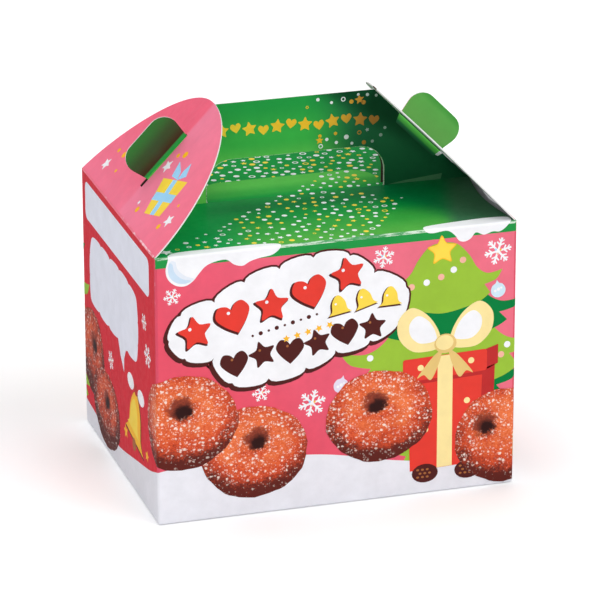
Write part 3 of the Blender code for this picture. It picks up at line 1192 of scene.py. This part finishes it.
def printPlaque(panel, shift):
    edge = scalloped(plaque["edge"], plaque["bulge"])
    rim = grown(edge, plaque["rim"])
    shadow = [point + Vector(plaque["shadow"]) for point in rim]
    level = plaque["level"]
    wallInk(panel, "brown", level, [shadow], shift)
    wallInk(panel, "brown", level + 1, [rim], shift)
    wallInk(panel, "white", level + 2, [edge], shift)
    turning, turnPace, turnMiddle = plaque["turn"]
    rising, risePace = plaque["rise"]
    right, up, big = plaque["under"]
    glintX, glintY, glintSize = plaque["glint"]
    for motifs, colour, start, end, count, size in plaque["rows"]:
        for step in range(count):
            spot = Vector(start).lerp(Vector(end), step / (count - 1))
            turn = turning * math.sin(step * turnPace) + turnMiddle
            spot.y += rising * math.sin(step * risePace)
            shape = shapes[motifs[step % len(motifs)]]
            under = moved(shape, spot.x + right, spot.y + up, turn, size * big)
            wallInk(panel, "brown", level + 3, [under], shift)
            if colour != "brown":
                wallInk(panel, colour, level + 4, [moved(shape, *spot, turn, size)], shift)
            glint = disc(spot.x + size * glintX, spot.y + size * glintY, size * glintSize, count=8)
            wallInk(panel, "white" if colour != "brown" else "tan", level + 5, [glint], shift)
    beads, sparks = plaque["beads"], plaque["sparks"]
    discs = [disc(*spot, beads["sizes"][step % 2], count=9) for step, spot in enumerate(inRow(beads))]
    wallInk(panel, "brown", level + 3, discs, shift)
    stars = [star(*spot, sparks["size"], sparks["turn"] * step) for step, spot in enumerate(inRow(sparks))]
    wallInk(panel, "gold", level + 4, stars, shift)


tree = {
    "middle": 41.0,
    "level": 3,
    "trunk": [(37.0, 12.0), (45.0, 12.0), (44.0, 40.0), (38.0, 40.0)],
    "tiers": [
        # top, hem, width to the left and to the right, ink
        (100.2, 73.5, 22.0, 23.4, "leaf"),
        (88.0, 62.0, 31.0, 32.0, "pine"),
        (78.0, 41.4, 40.0, 38.0, "leaf"),
        (62.0, 31.0, 34.0, 31.0, "pine"),
        (34.0, 7.5, 20.0, 41.0, "leaf"),
    ],
    # one side of a tier, out from its top and back to its hem, in shares of its width and height
    "side": [
        (0.24, 0.96), (0.44, 0.78), (0.58, 0.58), (0.76, 0.48), (1.0, 0.52, 0), (0.90, 0.38), (0.70, 0.32, 0),
        (0.80, 0.19, 0), (0.66, 0.09), (0.40, 0.01),
    ],
    "sag": 0.05,
    "dots": [
        (45.2, 89.1), (48.8, 92.6), (34.6, 85.1), (40.3, 86.7), (12.6, 57.4), (28.7, 83.9), (66.8, 56.8),
        (64.4, 53.0),
    ],
    "dotSize": 1.3,
    "baubles": [("frost", 62.9, 79.0, 2.9, 8), ("lilac", 1.2, 47.7, 2.9, -14)],
    "glints": [(-0.42, -0.08, 0.20), (0.04, 0.12, 0.24), (0.42, 0.30, 0.16)],
    "topStar": [("gold", 97.2, 6.0), ("yellow", 97.3, 5.3)],
    "topStarU": 40.6,
}


def tierOutline(top, hem, reachLeft, reachRight):
    # sides that sweep out to upturned tips, over a hem that sags
    middle, tall = tree["middle"], top - hem
    points = [(middle, top)]
    points += [(middle + x * reachRight, hem + y * tall, *corner) for x, y, *corner in tree["side"]]
    points += [(middle, hem - tree["sag"] * tall)]
    points += [(middle - x * reachLeft, hem + y * tall, *corner) for x, y, *corner in tree["side"][::-1]]
    return smooth(points, 5)


def printTree(panel, shift):
    level = tree["level"]
    wallInk(panel, "brown", level - 1, [tree["trunk"]], shift)
    for *sizes, colour in tree["tiers"][::-1]:
        wallInk(panel, colour, level, [tierOutline(*sizes)], shift)
        level += 1
    dots = [disc(x, y, tree["dotSize"]) for x, y in tree["dots"]]
    wallInk(panel, "white", level, dots[::2], shift)
    wallInk(panel, "peach", level, dots[1::2], shift)
    for colour, x, y, size, turn in tree["baubles"]:
        wallInk(panel, colour, level, [moved(shapes["bauble"], x, y, turn, size)], shift)
        for across, up, wide in tree["glints"]:
            glint = disc(x + across * size, y + up * size, wide * size, count=8)
            wallInk(panel, "white", level + 1, [glint], shift)
    for colour, height, size in tree["topStar"]:
        level += 1
        wallInk(panel, colour, level, [moved(shapes["star"], tree["topStarU"], height, 2, size)], shift)


parcel = {
    # films from the bottom up: ink, level over the parcel's own, outline
    "level": 16,
    "films": [
        ("red", 0, [(28.5, 9.5), (56.0, 10.5), (57.0, 48.0), (27.5, 47.0)]),
        ("deepRed", 0, [(56.0, 10.5), (61.0, 14.0), (62.0, 49.5), (57.0, 48.0)]),
        ("red", 1, [(25.5, 46.0, 1.0), (58.8, 47.4, 1.0), (58.8, 56.0, 1.0), (25.5, 55.0, 1.0)]),
        ("deepRed", 0, [(58.4, 47.6), (63.2, 49.8), (63.2, 57.4), (58.4, 55.9)]),
        ("deepRed", 1, [(27.5, 44.6), (57.0, 45.8), (57.0, 47.3), (27.5, 46.0)]),
        ("cream", 2, [(39.2, 10.0), (45.2, 10.2), (45.2, 55.4), (39.2, 55.2)]),
    ],
    "bowAt": (42.2, 57.0),
    "loop": [
        (-1.0, 2.0, 0), (-6.0, 0.6), (-13.0, 1.2), (-18.2, 6.6), (-18.6, 14.0), (-13.6, 18.6), (-7.4, 15.4),
        (-3.0, 9.0),
    ],
    "loopHole": (0.62, 2.6, 3.6),  # its size, and how far out and up it lies
    "tail": [(-1.0, 1.0, 0), (-5.0, -2.0), (-11.0, -9.6), (-8.4, -8.8), (-5.6, -11.0), (-2.6, -5.0)],
    "knots": [("creamShade", 42.2, 60.0, 4.4, 3.9), ("cream", 41.9, 60.4, 3.5, 3.0)],
    "spots": [(33.0, 38.0), (51.0, 36.0), (34.5, 26.0), (51.5, 24.0), (32.5, 51.2), (52.5, 52.0)],
    "spotSize": 1.25,
    "cones": [(34.5, 8.2), (51.5, 8.0)],
    "coneSize": (5.2, 3.8),
    "scaleStep": (1.9, 1.5),
    "scaleSize": (0.6, 0.45),
}


def printParcel(panel, shift):
    # a wrapped present with a wide bow, and two fir cones in the snow
    level = parcel["level"]
    for colour, over, outline in parcel["films"]:
        wallInk(panel, colour, level + over, [rounded(outline)], shift)
    size, outwards, up = parcel["loopHole"]
    for flip in (-1, 1):
        loop, tail = (smooth([(-x * flip, *rest) for x, *rest in parcel[part]]) for part in ("loop", "tail"))
        hole = [point * size + Vector((flip * outwards, up)) for point in loop]
        for over, colour, outline in ((3, "creamShade", tail), (4, "cream", loop), (5, "white", hole)):
            wallInk(panel, colour, level + over, [moved(outline, *parcel["bowAt"])], shift)
    for over, (colour, x, y, wide, tall) in enumerate(parcel["knots"], 6):
        wallInk(panel, colour, level + over, [disc(x, y, wide, tall, 20)], shift)
    spots = [disc(x, y, parcel["spotSize"]) for x, y in parcel["spots"]]
    wallInk(panel, "cream", level + 2, spots, shift)
    for x, y in parcel["cones"]:
        wallInk(panel, "brown", level + 2, [disc(x, y, *parcel["coneSize"], 20)], shift)
        scales = []
        across, upwardStep = parcel["scaleStep"]
        for row in (-1, 0, 1):
            for column in (-1, 0, 1):
                spot = (x + across * (column - (row % 2) / 2), y + upwardStep * row)
                scales.append(disc(*spot, *parcel["scaleSize"], 8))
        wallInk(panel, "tan", level + 3, scales, shift)


sideMotifs = {
    "label": [(-48.8, 87.2, 3), (45.5, 87.2, 3), (45.5, 102.4, 3), (-48.8, 102.4, 3)],
    "bubble": [
        (-42.4, 55.6), (-43.4, 65.2), (-42.8, 74.4), (-39.6, 81.6), (-26.0, 82.6), (-12.6, 82.2), (1.6, 82.8),
        (15.4, 82.2), (26.2, 80.6), (28.2, 71.6), (27.8, 62.4), (25.6, 55.2), (12.8, 54.6), (-1.0, 55.0),
        (-15.2, 54.6), (-29.6, 54.9),
    ],
    "bubbleBulge": 0.085,
    "bubbleTail": [(-2.6, 56.0), (11.4, 56.0), (7.0, 49.0), (6.8, 43.6), (2.0, 48.6)],
    "stars": [(8.0, 20.0, 3.0, 12), (39.0, 22.0, 2.4, -8)],
    "wornShine": (-0.7, -0.06),  # the strip under the top edge: a painted highlight, with cracks of wear
}
bell = {
    "at": (22.0, 29.0),
    "size": 13.0,
    "turn": -10,
    # ink, level, shift in millimetres, shift and size in shares of the bell's size
    "shells": [
        ("brown", 3, (0.4, -0.3), (0.0, 0.0), 1.06),
        ("gold", 4, (0.0, 0.0), (0.0, 0.0), 1.0),
        ("yellow", 5, (0.0, 0.0), (-0.12, 0.06), 0.66),
    ],
    # ink, level, place, half width and half height in shares of the bell's size, corners
    "discs": [
        ("tan", 5, (-0.13, -0.74), 0.2, 0.2, 14),
        ("white", 6, (-0.42, 1.14), 0.36, 0.24, 16),
        ("white", 6, (0.72, 1.02), 0.36, 0.24, 16),
        ("deepRed", 7, (0.16, 1.06), 0.18, 0.18, 12),
    ],
}


def printBell(panel, shift):
    middle, size = Vector(bell["at"]), bell["size"]
    for colour, level, aside, share, big in bell["shells"]:
        spot = middle + Vector(aside) + Vector(share) * size
        wallInk(panel, colour, level, [moved(shapes["bell"], *spot, bell["turn"], size * big)], shift)
    for colour, level, share, wide, tall, count in bell["discs"]:
        spot = middle + Vector(share) * size
        wallInk(panel, colour, level, [disc(*spot, wide * size, tall * size, count)], shift)


def printLongSide(panel, shift):
    printFlakes(panel, "front", shift)
    printTree(panel, shift)
    printParcel(panel, shift)
    span = (shift - halfWidth - cakes["overLeft"], shift + halfWidth - cakes["edgeGap"])
    for spec in cakes["front"]:
        printCake(panel, spec, shift, span)
    printPlaque(panel, shift)
    for colour, level, outline in drips:
        wallInk(panel, colour, level, [smooth(outline)], shift)


def printShortSide(panel, shift):
    printFlakes(panel, "side", shift)
    span = (shift - halfDepth + cakes["edgeGap"], shift + halfDepth - cakes["edgeGap"])
    for spec in cakes["side"]:
        printCake(panel, spec, shift, span)
    wallInk(panel, "paper", 2, [rounded(sideMotifs["label"])], shift)
    wallInk(panel, "paper", 3, [scalloped(sideMotifs["bubble"], sideMotifs["bubbleBulge"])], shift)
    wallInk(panel, "paper", 2, [sideMotifs["bubbleTail"]], shift)
    printBell(panel, shift)
    wallInk(panel, "gold", 3, [star(*spec) for spec in sideMotifs["stars"]], shift)
    low, high = (wallTop + above for above in sideMotifs["wornShine"])
    end = halfDepth - 1
    wallInk(panel, "pinkCrease", 1, [[(-end, low), (end, low), (end, high), (-end, high)]], shift)


halfTrip = roundTrip / 2
for panel, shift in (("print_walls_front", 0.0), ("print_walls_back", halfTrip)):
    printGround(panel, shift)
    printLongSide(panel, shift)
    printShortSide(panel, shift - halfTrip / 2)
print("wall print ready")

# The print on the top, the handle and the flaps

handleInks = ("handleWhiteShaded", "handleGoldShaded")
confetti = {
    # panel, place, quads of the band, gap, seed, size and inks
    "print_top_front": (
        onTop,
        [
            ((-60.0, -47.5), (-38.0, -47.5), (-37.0, -28.0), (-58.0, -43.0)),
            ((-38.0, -47.5), (-16.0, -52.0), (-12.0, -5.0), (-37.0, -27.0)),
            ((-16.0, -52.0), (14.0, -52.5), (14.0, -0.8), (-9.0, -0.8)),
            ((14.0, -52.5), (29.0, -30.0), (38.0, -16.0), (14.0, -0.8)),
        ],
        3.6, 4, 1.08,
    ),
    "print_tongue": (onTongue, [((0.0, 0.6), (34.0, 0.6), (25.0, 15.6), (13.0, 15.6))], 3.2, 7, 1.08),
    "print_top_back": (
        onTop,
        [
            ((-56.0, 3.0), (58.0, 3.0), (56.0, 24.0), (-52.0, 24.0)),
            ((-52.0, 24.0), (56.0, 24.0), (46.0, 49.0), (-46.0, 49.0)),
        ],
        3.4, 9, 1.25,
    ),
}
handleQuads = [
    ((7.0, 123.5), (36.0, 123.5), (36.0, 129.0), (10.0, 129.0)),
    ((2.0, 139.5), (33.0, 139.5), (33.0, 143.4), (8.0, 143.4)),
]
confetti["print_handle_front"] = (onHandle, handleQuads, 3.1, 11, 0.95, handleInks)
confetti["print_handle_rear"] = (onRearHandle, handleQuads, 3.1, 12, 0.95, handleInks)


pieces = {
    "tries": 2.2,  # per square millimetre of a quad's box
    "firstInk": 0.66,
    # the shares of dots, and of dots and stars; the rest are rings
    "dots": 0.58,
    "stars": 0.84,
    "sizes": (0.56, 1.04),
    "starSize": 1.25,
    "ring": (1.1, 0.66),
}


def scatter(quads, gap, pick):
    spots = []
    for quad in quads:
        corners = [Vector(corner) for corner in quad]
        lowX, highX = min(c.x for c in corners), max(c.x for c in corners)
        lowY, highY = min(c.y for c in corners), max(c.y for c in corners)
        tries = int((highX - lowX) * (highY - lowY) * pieces["tries"])
        for _ in range(tries):
            spot = Vector((pick.uniform(lowX, highX), pick.uniform(lowY, highY)))
            if geometry.intersect_point_quad_2d(spot, *corners) == 0:
                continue
            if all((spot - other).length > gap for other in spots):
                spots.append(spot)
    return spots


def printConfetti(panel, place, quads, gap, seed, big, names=("white", "yellow")):
    pick = random.Random(seed)
    groups = {name: [] for name in names}
    for spot in scatter(quads, gap, pick):
        group = groups[names[0] if pick.random() < pieces["firstInk"] else names[1]]
        kind = pick.random()
        size = pick.uniform(*pieces["sizes"]) * big
        if kind < pieces["dots"]:
            group.append(disc(*spot, size, count=9))
        elif kind < pieces["stars"]:
            group.append(star(*spot, size * pieces["starSize"], pick.uniform(0, 72)))
        else:
            group += [disc(*spot, size * part, count=10) for part in pieces["ring"]]
    for colour, outlines in groups.items():
        if outlines:
            ink(panel, colour, 2, outlines, place)


for panel, spec in confetti.items():
    printConfetti(panel, *spec)
ink("print_top_front", "white", 2, [star(-64.0, -48.7, 2.6, 20)], onTop)

garland = {
    "from": (-29.0, 133.6),
    "to": (31.0, 133.2),
    "count": 12,
    "shapes": (("star", 2.9), ("heart", 2.088)),
    "rise": (0.8, 1.6),  # how far they rise and fall, and how often
    "turn": 10,
    "stars": [(25.3, 141.0, 2.0, 8), (9.5, 126.2, 1.6, 0)],
}


def printGarland(panel, place):
    outlines = []
    rising, pace = garland["rise"]
    for step in range(garland["count"]):
        spot = Vector(garland["from"]).lerp(Vector(garland["to"]), step / (garland["count"] - 1))
        spot.y += rising * math.sin(step * pace)
        shape, size = garland["shapes"][step % 2]
        outlines.append(moved(shapes[shape], *spot, garland["turn"] * math.sin(step), size))
    ink(panel, "handleGoldShaded", 3, outlines, place)
    ink(panel, "handleGoldShaded", 2, [star(*spec) for spec in garland["stars"]], place)


printGarland("print_handle_front", onHandle)
printGarland("print_handle_rear", onRearHandle)

handleDetail = {
    # corners up the right slope and out from it
    "root": [(16.2, -0.9), (17.7, -4.4), (38.8, -4.4), (40.3, -0.9)],
    "torn": [(15.4, -1.0), (16.0, -2.9), (17.3, -3.2), (16.9, -1.0)],
    "foldShine": [(36.6, 105.85), (58.0, 105.85), (58.6, 108.2), (52.0, 107.6), (44.0, 106.9)],
    "rim": 0.34,  # the pale cut line round the hand hole
    "rimFrom": (0.0, 112.0),
}


def printHandleDetail():
    root, torn = ([upSlope(1, *corner) for corner in handleDetail[part]] for part in ("root", "torn"))
    hole = handHole()
    middle = Vector(handleDetail["rimFrom"])
    rim = [point + (point - middle).normalized() * handleDetail["rim"] for point in hole]
    for colour, level, outlines in (
        ("tabLeftShaded", 1, [rounded(tabCorners(-1))]),
        ("tabRight", 1, [rounded(tabCorners(1))]),
        ("tabRootLitToShade", 1, [root]),
        ("white", 2, [torn]),
        ("cutLine", 1, [rim, hole]),
        ("foldGreen", 1, [handleDetail["foldShine"]]),
    ):
        ink("print_handle_front", colour, level, outlines, onHandle)


printHandleDetail()

gift = {
    "box": [(-19.4, 7.7), (-31.2, 11.3), (-28.8, 27.5), (-11.2, 21.8)],
    "ribbons": (1.6, 1.8),
    "bow": [
        [(-21.2, 25.2), (-15.4, 24.6), (-12.2, 30.6), (-18.6, 28.2)],
        [(-21.2, 25.2), (-20.0, 29.0), (-20.6, 33.2), (-24.8, 28.4)],
    ],
    "stars": [(-6.6, 25.8, 3.1), (-39.6, 12.9, 3.0), (38.9, 8.4, 3.0), (-9.4, 8.8, 1.1)],
    "dots": [
        (-11.8, 33.7, 1.5), (-7.6, 31.5, 1.0), (-36.6, 8.6, 1.2), (-12.4, 6.6, 1.3), (31.9, 16.0, 1.5),
        (38.8, 15.5, 1.0), (-36.9, 19.3, 0.7), (27.2, 9.5, 0.8),
    ],
    "wornShine": (-0.3, 0.55),  # the strip along the fold: a painted highlight, with cracks of wear
}


def ribbon(start, end, half):
    direction = (end - start).normalized()
    aside = Vector((-direction.y, direction.x)) * half
    return [start + aside, start - aside, end - aside, end + aside]


def printFlap(side, mirror):
    corners = [Vector((s * mirror, t)) for s, t in gift["box"]]
    middles = [(corners[index] + corners[(index + 1) % 4]) / 2 for index in range(4)]
    flapInk(side, "yellow", 1, [corners])
    for turn, half in enumerate(gift["ribbons"]):
        flapInk(side, "paleBlue", 2 + turn, [ribbon(middles[turn], middles[turn + 2], half)])
    for level, wing in enumerate(gift["bow"], 2):
        flapInk(side, "paleBlue", level, [[(s * mirror, t) for s, t in wing]])
    flapInk(side, "white", 1, [star(s * mirror, t, size, 14) for s, t, size in gift["stars"]])
    flapInk(side, "gold", 1, [disc(s * mirror, t, size, count=10) for s, t, size in gift["dots"]])
    end = flap["halfWidth"] - 1.2
    low, high = gift["wornShine"]
    flapInk(side, "pinkCrease", 1, [[(-end, low), (end, low), (end, high), (-end, high)]], flap["foldLift"])


base = {
    # where the folded base panels meet: a stepped seam and two slanting edges
    "seams": [
        ((-69.0, 4.0), (-3.0, 4.0)), ((-3.0, 4.0), (3.0, -4.0)), ((3.0, -4.0), (69.0, -4.0)),
        ((-69.0, -53.0), (-12.4, 3.6)), ((69.0, 53.0), (12.4, -3.6)),
    ],
    "half": 0.25,
}


def onBase(x, y, h):
    return Vector((x, y, -h)) * mm


printFlap(-1, 1)
printFlap(1, -1)
for index, (start, end) in enumerate(base["seams"]):
    ink("print_base", "seam", 1 + index % 2, [ribbon(Vector(start), Vector(end), base["half"])], onBase)
print("top and flap print ready")

# Join the sheets of each panel, and tie every piece to the frame


def joinSheets(name, sheets):
    first = sheets[0]
    chosen = {"selected_objects": sheets, "selected_editable_objects": sheets}
    with bpy.context.temp_override(active_object=first, object=first, **chosen):
        bpy.ops.object.join()
    first.name = name
    first.data.name = name
    return first


printPieces = [joinSheets(name, sheets) for name, sheets in printed.items()]
for piece in boardPieces + printPieces:
    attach(piece, "root")
for piece in boardPieces:
    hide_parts("carton")
print("pieces:", len(boardPieces) + len(printPieces))

# Floor, light and camera

studio = {
    # the floor's size and drop are in metres
    "floorSize": 9.0,
    "floorDrop": 0.0002,
    "floor": sRgb(252, 252, 252),
    "floorGlow": 0.1,
    "world": (0.95, 0.96, 1.0),
    "worldStrength": 0.2,
}
suns = {
    # towards the light, strength where 3.14 lights white paper fully, softness
    "key": ((0.55, -0.55, 0.63), 1.6, 50.0),
    "fill": ((-0.75, -0.35, 0.56), 0.85, 80.0),
    "top": ((-0.1, 0.3, 0.95), 1.5, 60.0),
}
view = {
    "place": (-444.07, -1465.58, 640.60),
    "turn": 16.92,
    "down": 20.68,
    "roll": -0.1247,
    "lens": 256.27,
    "sensor": 36.0,
    "clip": (0.05, 50.0),
}


def makeFloor():
    bm = bmesh.new()
    bmesh.ops.create_grid(bm, x_segments=8, y_segments=8, size=studio["floorSize"] / 2)
    mesh = bpy.data.meshes.new("floor")
    bm.to_mesh(mesh)
    bm.free()
    made, tree, shader = newMaterial("floor")
    shader.inputs["Base Color"].default_value = studio["floor"]
    shader.inputs["Roughness"].default_value = 0.9
    shader.inputs["Specular IOR Level"].default_value = 0.1
    shader.inputs["Emission Color"].default_value = studio["floor"]
    shader.inputs["Emission Strength"].default_value = studio["floorGlow"]
    mesh.materials.append(made)
    floor = bpy.data.objects.new("floor", mesh)
    floor.location = (0, 0, -studio["floorDrop"])
    bpy.context.scene.collection.objects.link(floor)
    floor.visible_glossy = False


def makeSun(name, towards, strength, softness):
    light = bpy.data.lights.new(name, "SUN")
    light.energy = strength
    light.angle = math.radians(softness)
    lamp = bpy.data.objects.new(name, light)
    lamp.rotation_euler = Vector(towards).to_track_quat("Z", "Y").to_euler()
    bpy.context.scene.collection.objects.link(lamp)


def makeCamera():
    turn, down, roll = (math.radians(view[key]) for key in ("turn", "down", "roll"))
    spin = Matrix.Rotation(-turn, 4, "Z") @ Matrix.Rotation(math.pi / 2 - down, 4, "X")
    lens = bpy.data.cameras.new("camera")
    lens.lens = view["lens"]
    lens.sensor_width = view["sensor"]
    lens.clip_start, lens.clip_end = view["clip"]
    camera = bpy.data.objects.new("camera", lens)
    place = Matrix.Translation(Vector(view["place"]) * mm)
    camera.matrix_world = place @ spin @ Matrix.Rotation(roll, 4, "Z")
    bpy.context.scene.collection.objects.link(camera)
    bpy.context.scene.camera = camera


world = bpy.data.worlds.new("studio")
world.use_nodes = True
sky = world.node_tree.nodes["Background"]
sky.inputs["Color"].default_value = (*studio["world"], 1.0)
sky.inputs["Strength"].default_value = studio["worldStrength"]
bpy.context.scene.world = world
bpy.context.scene.view_settings.view_transform = "Standard"
makeFloor()
for name, spec in suns.items():
    makeSun(name, *spec)
makeCamera()
